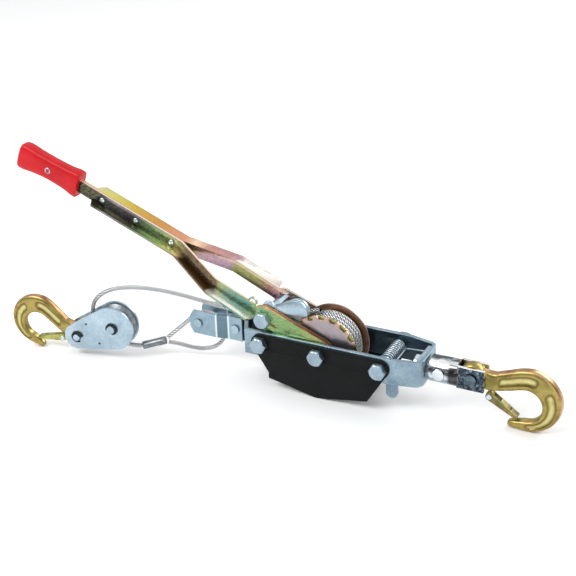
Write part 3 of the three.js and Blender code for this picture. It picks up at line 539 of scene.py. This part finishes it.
REAR_FLANGE = drum_zinc(
    "rear_flange_zinc",
    [(0.0, "6A4C3C"), (0.75, "8C6650"), (0.90, "A67C62"), (0.955, "A89C94"), (1.0, "C4C8CA")])
LINER_ZINC = drum_zinc("liner_zinc", [(0.0, "5A4030"), (0.6, "8A6A50"), (1.0, "A88868")])

SLOT_OF = {m["node"]: m["material_slot"] for m in frame["record"]["subparts"]}
FINISH_OF = {"clear_zinc": ZINC, "yellow_zinc": FRONT_ARM, "hook_zinc": HOOK_ZINC, "black_paint": BLACK,
             "bright_steel": BRIGHT, "rope_steel": ROPE_STEEL, "black_steel": CLIP_BLACK,
             "aluminium": ALUMINIUM, "red_plastic": RED}
BODY_OF = {n: b for b, nodes in frame["record"]["behaviour"]["bodies"].items() for n in nodes}
made = set()


# ---------------------------------------------------------------- mesh helpers
def finish_piece(name, mesh, material, body, nodes, sharp=32):
    """Smooth shading with crisp edges, a body to ride on, and the CAD nodes that the piece stands for."""
    mesh.polygons.foreach_set("use_smooth", [True] * len(mesh.polygons))
    mesh.set_sharp_from_angle(angle=rad(sharp))
    mesh.materials.clear()
    mesh.materials.append(material)
    obj = bpy.data.objects.new(name, mesh)
    COLLECTION.objects.link(obj)
    if body:
        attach(obj, body)
    if nodes:
        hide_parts(*nodes)
        made.update(nodes)
    return obj


def for_node(node, mesh, material=None, sharp=32, name=None):
    """The piece that stands for one CAD node, riding on that node's body."""
    slot = SLOT_OF[node]
    material = material or FINISH_OF[slot]
    return finish_piece(name or node + "_detail", mesh, material, BODY_OF[node], [node], sharp)


def to_mesh(name, points, faces, place=WINCH, attributes=None):
    mesh = bpy.data.meshes.new(name)
    mesh.from_pydata([place @ Vector(p) for p in points], [], faces)
    mesh.validate()
    for key, values in (attributes or {}).items():
        mesh.attributes.new(key, "FLOAT", "POINT").data.foreach_set("value", values)
    tidy = bmesh.new()
    tidy.from_mesh(mesh)
    bmesh.ops.recalc_face_normals(tidy, faces=tidy.faces)
    tidy.to_mesh(mesh)
    tidy.free()
    return mesh


def ring_faces(rings, count, closed=False):
    """Quads between rings of count points, with a cap at each end unless the rings close on themselves."""
    faces = []
    for k in range(rings if closed else rings - 1):
        a, b = k * count, ((k + 1) % rings) * count
        faces += [(a + i, a + (i + 1) % count, b + (i + 1) % count, b + i) for i in range(count)]
    if not closed:
        faces += [tuple(range(count)), tuple(range((rings - 1) * count, rings * count))]
    return faces


def turned(profile, x=0.0, z=0.0, sides=64):
    """Points and faces of a closed (radius, y) profile turned about the Y axis through (x, z)."""
    points = []
    for i in range(sides):
        t = 2 * math.pi * i / sides
        points += [(x + r * math.cos(t), y, z + r * math.sin(t)) for r, y in profile]
    return points, ring_faces(sides, len(profile), closed=True)


def add_turned(node, profile, x=0.0, z=0.0, sides=64, place=WINCH, material=None):
    points, faces = turned(profile, x, z, sides)
    mesh = to_mesh(node, points, faces, place)
    welded = bmesh.new()
    welded.from_mesh(mesh)
    bmesh.ops.remove_doubles(welded, verts=welded.verts, dist=1e-7)
    welded.to_mesh(mesh)
    welded.free()
    return for_node(node, mesh, material)


def bevelled(node, width=0.4, material=None, segments=2, angle=30):
    """The CAD node's own shape with its edges rolled over, as a punched or machined edge is."""
    work = bmesh.new()
    work.from_mesh(frame["nodes"][node].data)
    bmesh.ops.remove_doubles(work, verts=work.verts, dist=2e-6)
    bmesh.ops.dissolve_limit(work, angle_limit=rad(1), verts=work.verts, edges=work.edges)
    edges = [e for e in work.edges if len(e.link_faces) == 2 and e.calc_face_angle(0) > rad(angle)]
    bmesh.ops.bevel(work, geom=edges, offset=width * MM, segments=segments, affect="EDGES", profile=0.6,
                    clamp_overlap=True)
    bmesh.ops.recalc_face_normals(work, faces=work.faces)
    mesh = bpy.data.meshes.new(node)
    work.to_mesh(mesh)
    work.free()
    return for_node(node, mesh, material, 40)


# ---------------------------------------------------------------- wire rope
ROPE_R = 2.5
STRANDS = 6
LAY_LENGTH = 21.0


def smooth_path(points, step):
    """Points a step apart on a centripetal Catmull-Rom curve, and its length."""
    p = [np.array(q, float) for q in points]
    p = [2 * p[0] - p[1], *p, 2 * p[-1] - p[-2]]
    fine = []
    for a, b, c, d in zip(p, p[1:], p[2:], p[3:]):
        t = np.cumsum([0] + [max(np.linalg.norm(y - x), 1e-6) ** 0.5 for x, y in ((a, b), (b, c), (c, d))])
        for s in np.linspace(t[1], t[2], 24, endpoint=False):
            ab = ((t[1] - s) * a + (s - t[0]) * b) / (t[1] - t[0])
            bc = ((t[2] - s) * b + (s - t[1]) * c) / (t[2] - t[1])
            cd = ((t[3] - s) * c + (s - t[2]) * d) / (t[3] - t[2])
            abc = ((t[2] - s) * ab + (s - t[0]) * bc) / (t[2] - t[0])
            bcd = ((t[3] - s) * bc + (s - t[1]) * cd) / (t[3] - t[1])
            fine.append(((t[2] - s) * abc + (s - t[1]) * bcd) / (t[2] - t[1]))
    fine = np.array([*fine, p[-2]])
    run = np.concatenate([[0], np.cumsum(np.linalg.norm(np.diff(fine, axis=0), axis=1))])
    at = np.linspace(0, run[-1], max(2, round(run[-1] / step)) + 1)
    return np.stack([np.interp(at, run, fine[:, k]) for k in range(3)], axis=1), run[-1]


def stranded(path, radius=ROPE_R, per_strand=6):
    """Points, faces and depth values of a rope whose lobed section turns along the path."""
    tangent = np.gradient(path, axis=0)
    tangent /= np.linalg.norm(tangent, axis=1)[:, None]
    side = np.cross(tangent[0], (0.0, 0.0, 1.0))
    side /= np.linalg.norm(side)
    count = STRANDS * per_strand
    half = math.pi / STRANDS
    points, depth = [], []
    run = np.concatenate([[0], np.cumsum(np.linalg.norm(np.diff(path, axis=0), axis=1))])
    for centre, along, s in zip(path, tangent, run):
        side = side - along * side.dot(along)
        side /= np.linalg.norm(side)
        other = np.cross(along, side)
        twist = 2 * math.pi * s / LAY_LENGTH
        for i in range(count):
            phi = 2 * math.pi * i / count
            off = (phi % (2 * half)) - half
            lobe = (2 * math.cos(off) + math.sqrt(max(0.0, 1 - 4 * math.sin(off) ** 2))) / 3
            r = radius * lobe
            points.append(centre + r * (math.cos(phi + twist) * side + math.sin(phi + twist) * other))
            depth.append((lobe - 0.577) / 0.423)
    return points, ring_faces(len(path), count), depth


def rope_piece(name, path, nodes, body):
    points, faces, depth = stranded(path)
    mesh = to_mesh(name, points, faces, WINCH, {"depth": depth})
    return finish_piece(name, mesh, ROPE_STEEL, body, nodes, 60)


SUPPLY_ROUTE = [
    (-12.4, 4, 33.7), (-37, 3, 25), (-65, 1, 14), (-100, -2, 15), (-125, -6, 19.5), (-147.3, -12.1, 25.2),
    (-169.7, -18.5, 30.6), (-196.7, -26.2, 34.8), (-222, -33.5, 35.2), (-241, -39, 31.5), (-254, -42.8, 24.6),
    (-262, -45, 15.5), (-265, -45.7, 5), (-264.2, -45.6, -5), (-261.3, -45, -14),
]
SHEAVE_ROUTE = [(45 + 21.2 * math.cos(rad(a)), 0, 21.2 * math.sin(rad(a))) for a in range(177, 250, 12)]
RETURN_ROUTE = [(-240.6, -41.3, -32.4), (-232, -38.8, -33.2), (-220, -34, -35), (-214.3, -31.4, -35.4)]
FERRULE_ENDS = [(-213, -30.8, -35.2), (-189.5, -19.2, -28.9)]
LOOP_ROUTE = [
    (-187.9, -18.3, -25.9), (-182, -15.6, -20.2), (-172, -10.7, -10.6), (-161.5, -5, -0.8), (-150, 0, 5.4),
    (-138, 0.4, 3.6), (-128.5, 0.4, -4.4), (-126, 0.3, -16), (-130.5, 0.2, -27), (-140, -0.5, -35.3),
    (-152, -3.2, -39), (-165, -8.4, -37.2), (-176, -13.2, -33.6), (-187.4, -18.3, -31.3),
]


def in_winch(points, place):
    """Millimetres from the axle of points given in another frame."""
    back = WINCH.inverted() @ place
    return [tuple(back @ Vector(p)) for p in points]


def add_ropes():
    route = SUPPLY_ROUTE + in_winch(SHEAVE_ROUTE, BLOCK)[1:]
    path, length = smooth_path(route, 1.4)
    supply = rope_piece("rope_to_sheave", path, ["rope_supply", "rope_on_sheave"], None)
    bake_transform(supply)
    path, length = smooth_path([in_winch(SHEAVE_ROUTE, BLOCK)[-1], *RETURN_ROUTE], 1.4)
    back = rope_piece("rope_to_ferrule", path, ["rope_return"], None)
    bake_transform(back)
    path, length = smooth_path(LOOP_ROUTE, 1.4)
    loop = rope_piece("rope_eye", path, ["rope_eye_loop"], "frame")
    add_ferrule()


def add_ferrule():
    """Pressed oval sleeve with rolled ends and a shallow crimp."""
    a, b = (np.array(p) for p in FERRULE_ENDS)
    along = (b - a) / np.linalg.norm(b - a)
    side = np.cross(along, (0.0, 0.0, 1.0))
    side /= np.linalg.norm(side)
    other = np.cross(side, along)
    length = np.linalg.norm(b - a)
    stations = [(0, 0.78), (0.35, 0.92), (1.2, 1.0), (5, 0.99), (8, 0.94), (12, 0.95), (16, 0.94), (19, 0.99),
                (length - 1.2, 1.0), (length - 0.35, 0.92), (length, 0.78)]
    points = []
    for s, size in stations:
        for i in range(32):
            t = 2 * math.pi * i / 32
            points.append(a + along * s + size * (4.9 * math.cos(t) * side + 4.4 * math.sin(t) * other))
    return for_node("ferrule", to_mesh("ferrule", points, ring_faces(len(stations), 32)))


# ---------------------------------------------------------------- rope on the drum
WOUND_RADIUS = 30.4
WOUND_FROM, WOUND_TO = -13.2, 15.0
UNDER_INNER, UNDER_OUTER = 14, 28.2


def add_winding():
    """The outer layer of wraps over a cylinder for the layer beneath, which takes painted shade where it shows
    between them.
    """
    turns = (WOUND_TO - WOUND_FROM - 2 * ROPE_R) / (2 * ROPE_R + 0.35)
    steps = round(turns * 110)
    angle = np.linspace(0, 2 * math.pi * turns, steps) + rad(112)
    y = np.linspace(WOUND_FROM + ROPE_R, WOUND_TO - ROPE_R, steps)
    path = np.stack([WOUND_RADIUS * np.cos(angle), y, WOUND_RADIUS * np.sin(angle)], axis=1)
    points, faces, depth = stranded(path, ROPE_R - 0.15, 5)
    section = [(UNDER_INNER, WOUND_FROM), (UNDER_OUTER, WOUND_FROM),
               (UNDER_OUTER, WOUND_TO), (UNDER_INNER, WOUND_TO)]
    under, rings = turned(section)
    faces += [tuple(i + len(points) for i in face) for face in rings]
    # depth 0 gives the under layer the rope's near-black painted shade.
    depth += [0.0] * len(under)
    mesh = to_mesh("wound_rope", points + under, faces, WINCH, {"depth": depth})
    for_node("wound_rope", mesh, sharp=60)


# ---------------------------------------------------------------- bolts and nuts
BOLT = {"r": 4.7, "flats": 16, "head": 6.4, "nut": 8, "left": -65.1, "right": 67.7}
FRAME_FACE = 32.6
ARM_FACE = 25.3
PAWL_AXIS = (68.8, -3)
THREAD = {"long": 12, "turns": 9, "pitch": 1.25, "deep": 0.55}
HEX_STEPS = 48


def hexagon(x, z, inside, outside):
    """A hexagon across two y values with its corners chamfered at the outside one."""
    sign = 1 if outside > inside else -1
    height = abs(outside - inside)
    points = []
    depths = [0, height - 1.9, height - 1.2, height - 0.6, height]
    for d in depths:
        limit = BOLT["flats"] * 0.475 + (height - d) * 1.5
        for i in range(HEX_STEPS):
            t = 2 * math.pi * i / HEX_STEPS
            flat = t % (math.pi / 3) - math.pi / 6
            r = min(BOLT["flats"] / 2 / math.cos(flat), limit)
            points.append((x + r * math.cos(t), inside + sign * d, z + r * math.sin(t)))
    return points, ring_faces(len(depths), HEX_STEPS)


def thread(y0, y1):
    """Profile of a bolt's shank that ends in thread."""
    profile = [(0, y0), (BOLT["r"], y0), (BOLT["r"], y1 - THREAD["long"])]
    for k in range(THREAD["turns"]):
        crest = y1 - THREAD["long"] + 0.4 + k * THREAD["pitch"]
        profile += [(BOLT["r"], crest), (BOLT["r"] - THREAD["deep"], crest + 0.6)]
    return [*profile, (BOLT["r"] - 0.7, y1), (0, y1)]


def joined(*parts):
    points, faces = [], []
    for more, rings in parts:
        faces += [tuple(i + len(points) for i in face) for face in rings]
        points += more
    return points, faces


def add_bolts():
    px, pz = on_handle(*PAWL_AXIS)
    places = [("left", BOLT["left"], 0, FRAME_FACE, BOLT["nut"], 2),
              ("axle", 0, 0, FRAME_FACE, BOLT["nut"], 2),
              ("right", BOLT["right"], 0, FRAME_FACE, BOLT["nut"], 2),
              ("pawl", px, pz, ARM_FACE, 5, 0.5)]
    for name, x, z, face, nut, past in places:
        head = hexagon(x, z, -face, -face - BOLT["head"])
        points, faces = joined(head, turned(thread(-face - 1, face + nut + past), x, z, 40))
        for_node(f"{name}_bolt", to_mesh(name, points, faces), ZINC_BOLT)
        points, faces = hexagon(x, z, face, face + nut)
        for_node(f"{name}_nut", to_mesh(name, points, faces), ZINC_BOLT)


# ---------------------------------------------------------------- hooks
GROOVE = 2.1


def hook_stations():
    """Inside point, outside point, half thickness and groove depth along a hook, from its eye to its tip."""
    rows = [
        (6, -10.5, 6, 10.5, 5.9, 0), (19, -11.2, 21.3, 8.9, 6.0, 0), (24.5, -10.1, 26.4, 10.5, 6.0, 0),
        (28.7, -9.2, 30.3, 11.9, 6.0, GROOVE), (34, -7.6, 35.4, 13.8, 6.0, GROOVE),
        (41, -5.8, 41.4, 16.2, 6.1, GROOVE), (47, -3.9, 48.5, 18.5, 6.1, GROOVE),
    ]
    for deg in range(88, -93, -12):
        c, s = math.cos(rad(deg)), math.sin(rad(deg))
        depth = 0 if 35 < deg < 68 or deg < -82 else GROOVE
        rows.append((53.5 + 17 * c, -19.5 + 17 * s, 56.5 + 33.5 * c, -13.5 + 33.5 * s, 6.1, depth))
    rows += [(48.5, -37.6, 50, -46.9, 5.6, 0), (44.6, -38.4, 45.5, -46.6, 5.2, 0),
             (41, -39.4, 41.4, -46.4, 4.8, 0), (38.4, -40.4, 38.6, -46.0, 4.0, 0),
             (37.3, -41.4, 37.4, -45.2, 2.8, 0), (36.8, -42.6, 36.8, -44.0, 1.2, 0)]
    return smooth_rows(rows, 3)


def smooth_rows(rows, parts):
    """Rows of numbers with uniform Catmull-Rom steps put between them."""
    r = [np.array(q, float) for q in rows]
    r = [r[0], *r, r[-1]]
    out = []
    for a, b, c, d in zip(r, r[1:], r[2:], r[3:]):
        for k in range(parts):
            t = k / parts
            square, cube = 2 * a - 5 * b + 4 * c - d, 3 * b - a - 3 * c + d
            out.append(0.5 * (2 * b + (c - a) * t + square * t**2 + cube * t**3))
    return [*out, r[-1]]


def power(value, exponent):
    return math.copysign(abs(value) ** exponent, value)


def hook_body(around=64):
    points, rim, dips = [], [], []
    stations = hook_stations()
    for ix, iz, ox, oz, half, groove in stations:
        for i in range(around):
            t = 2 * math.pi * i / around
            w, y = power(math.cos(t), 0.72), power(math.sin(t), 0.52)
            dip = math.cos(min(1.0, abs(w) / 0.62) * math.pi / 2) ** 1.6
            share = (1 + w) / 2
            points.append((ix + (ox - ix) * share, y * (half - groove * dip), iz + (oz - iz) * share))
            rim.append(min(1.0, max(0.0, (w - 0.84) / 0.12)))
            dips.append(dip * groove / GROOVE)
    return points, ring_faces(len(stations), around), rim, dips


def add_hook(size, place):
    points, faces, rim, dips = hook_body()
    eye = turned([(4.6, -5.5), (5.2, -6.1), (12.0, -6.1), (13.3, -5.5), (14, -4.1),
                  (14, 4.1), (13.3, 5.5), (12.0, 6.1), (5.2, 6.1), (4.6, 5.5)])
    lug = turned([(0.1, -2.6), (3.8, -2.6), (4.4, -2.0), (4.4, 2.0), (3.8, 2.6), (0.1, 2.6)], 18, -17.5, 28)
    for more in (eye, lug):
        rim += [0.0] * len(more[0])
        dips += [0.0] * len(more[0])
        points, faces = joined((points, faces), more)
    mesh = to_mesh(f"hook_{size}", points, faces, place, {"rim": rim, "groove": dips})
    for_node(f"hook_{size}", mesh, sharp=50)


# ---------------------------------------------------------------- grip
GRIP_RINGS = [
    (406.35, 0.70, 0.70, -3.4), (405.55, 0.86, 0.84, -3.3), (404, 0.98, 0.95, -3.2), (398, 1.02, 1.0, -2.6),
    (391, 0.97, 0.98, -1.9), (383, 0.90, 0.95, -1.2), (366.5, 0.84, 0.92, 0), (352, 0.86, 0.92, 0.5),
    (342, 0.90, 0.94, 0.8), (334, 0.99, 0.98, 1.0), (330, 1.02, 1.0, 1.0), (326.6, 1.0, 0.98, 1.0),
    (326, 0.95, 0.93, 1),
]
GRIP_HALF_WIDE, GRIP_HALF_HIGH = 8.8, 15.2
GRIP_STEPS = 48
GRIP_SCREW_U = 365
RIVETS_U = (202, 249, 294)


def add_grip():
    across = Vector((math.sin(TOP_ANGLE), 0, math.cos(TOP_ANGLE)))
    points = []
    for u, high, wide, v in smooth_rows(GRIP_RINGS, 3):
        x, z = on_handle(u, v)
        for i in range(GRIP_STEPS):
            t = 2 * math.pi * i / GRIP_STEPS
            side = GRIP_HALF_WIDE * wide * power(math.cos(t), 0.5)
            rise = GRIP_HALF_HIGH * high * power(math.sin(t), 0.5)
            points.append(Vector((x, side, z)) + across * rise)
    for_node("grip", to_mesh("grip", points, ring_faces(len(points) // GRIP_STEPS, GRIP_STEPS)), sharp=50)
    x, z = on_handle(GRIP_SCREW_U)
    profile = [(0, -7.6), (1.9, -7.6), (2.2, -8.4), (3.1, -8.7), (3.6, -8.4), (3.6, -7.0),
               (2, -7.0), (2, 7.4), (0, 7.4)]
    add_turned("grip_screw", profile, x, z, 32, material=ZINC_BOLT)


def dome(radius, height, base, sign, steps=6):
    """Profile of a domed head that stands on y = base and points to the given side."""
    angles = [math.pi / 2 * k / steps for k in range(steps + 1)]
    return [(radius * math.cos(a), base + sign * height * math.sin(a)) for a in angles]


def add_rivets():
    for i, u in enumerate(RIVETS_U):
        x, z = on_handle(u)
        front = dome(3.4, 1.9, -3.0, -1)
        profile = [(2.8, 3.0), (2.8, -3.0), *front, (0, 3.0)]
        far = [(0, 3.0), *reversed(dome(4.0, 1.7, 3.0, 1))]
        points, faces = joined(turned([*reversed(profile)], x, z, 28), turned(far, x, z, 28))
        mesh = to_mesh("rivet", points, faces)
        for_node(f"handle_rivet_{i + 1}", mesh, SPRING_STEEL)


def add_dimples():
    """Two small punch marks on the block's front cheek."""
    for name, x, z in (("upper", 17, 12), ("lower", 23, -13.5)):
        points, faces = turned([(0, -9.4), (1.3, -9.4), *dome(1.3, 0.5, -9.5, -1)], x, z, 20)
        mesh = to_mesh("dimple", points, faces, BLOCK)
        finish_piece(f"cheek_mark_{name}", mesh, PIN_STEEL, "block", [])


# ---------------------------------------------------------------- drive pawl
def arc(x, z, r, start, end, step=4):
    count = max(1, round(abs(end - start) / step))
    angles = [rad(start + (end - start) * i / count) for i in range(count + 1)]
    return [(x + r * math.cos(a), z + r * math.sin(a)) for a in angles]


def slab(outline, y0, y1, round_by=0.5):
    """A plate across y0..y1 with an outline in x and z and rolled edges."""
    centre = np.mean(outline, axis=0)
    count, rings = len(outline), []
    low = ((round_by, y0), (round_by * 0.3, y0 + round_by * 0.35), (0, y0 + round_by))
    high = ((0, y1 - round_by), (round_by * 0.3, y1 - round_by * 0.35), (round_by, y1))
    for inset, y in low + high:
        for x, z in outline:
            out = np.array((x, z)) - centre
            x, z = centre + out * (1 - inset / max(np.linalg.norm(out), 1))
            rings.append((x, y, z))
    return rings, ring_faces(6, count)


def add_drive_pawl():
    """Two laminated D plates, a thumb tab, a lifting bar and the sleeve that they turn on."""
    px, pz = on_handle(*PAWL_AXIS)
    nose = [*arc(px, pz, 7.6, 125, 290), (px + 27, pz + 6.2),
            *arc(0, 0, 40, 130, 115.5), *arc(-28.5, 38.2, 12.6, -8, 118)]
    tab = [*arc(px + 4, pz + 12, 7.2, -10, 190, 10), (px - 4, pz + 4), (px + 8, pz + 4)]
    bar = [(px + x, pz + z) for x, z in ((1, 5), (5.5, 3.5), (8.4, 9.4), (4.6, 11))]
    sleeve = [(5.4, -19.9), (7.3, -19.9), (7.6, -19.6), (7.6, 21.5), (7.3, 21.9), (5.4, 21.9)]
    points, faces = joined(
        slab(nose, -19.7, -15.6, 0.7), slab(nose, -15.1, -11.0, 0.7), slab(tab, -19.7, -16.7),
        slab(bar, -18, 18), turned(sleeve, px, pz, 40))
    for_node("drive_pawl", to_mesh("drive_pawl", points, faces), sharp=50)


# ---------------------------------------------------------------- lock pawl spring
def add_spring():
    """Close coil on the right bolt with one leg that bears on the nose."""
    turns, wire, radius = 10, 0.8, 6.9
    angle = np.linspace(0, 2 * math.pi * turns, turns * 28) + rad(200)
    y = np.linspace(-13, 23, len(angle))
    coil = np.stack([BOLT["right"] + radius * np.cos(angle), y, radius * np.sin(angle)], axis=1)
    leg = np.linspace(coil[-1], (99.2, 16, 4.5), 14)[1:]
    points, faces = tube(np.concatenate([coil, leg]), wire)
    for_node("lock_pawl_spring", to_mesh("lock_pawl_spring", points, faces), SPRING_STEEL, 60)


def tube(path, radius, around=10):
    tangent = np.gradient(path, axis=0)
    tangent /= np.linalg.norm(tangent, axis=1)[:, None]
    side = np.cross(tangent[0], (0.3, 0.2, 0.9))
    points = []
    for centre, along in zip(path, tangent):
        side = side - along * side.dot(along)
        side /= np.linalg.norm(side)
        other = np.cross(along, side)
        for i in range(around):
            t = 2 * math.pi * i / around
            points.append(centre + radius * (math.cos(t) * side + math.sin(t) * other))
    return points, ring_faces(len(path), around)


# ---------------------------------------------------------------- assembly
MATERIAL_OF = {
    "handle_arm_rear": REAR_ARM, "hub_liner": LINER_ZINC, "ratchet_wheel": WHEEL_ZINC,
    "drum_flange_front": FRONT_FLANGE, "drum_flange_rear": REAR_FLANGE, "latch_large": LATCH_ZINC,
    "latch_small": SMALL_LATCH_ZINC, "latch_rivet_large": BRIGHT, "latch_rivet_small": BRIGHT,
    "frame_strap": STRAP_ZINC, "swivel_clevis": CLEVIS_STEEL, "lock_pawl": PAWL_ZINC, "clevis_pin": PIN_STEEL,
    "fork_plate_front": FORK_ZINC, "fork_plate_rear": FORK_ZINC,
}

add_camera()
add_ropes()
add_stage()
add_world()
add_lights()
add_winding()
add_bolts()
add_hook("large", LARGE_HOOK)
add_hook("small", SMALL_HOOK)
add_grip()
add_drive_pawl()
add_spring()
add_rivets()
add_dimples()
for node in frame["nodes"]:
    if node not in made:
        bevelled(node, material=MATERIAL_OF.get(node))
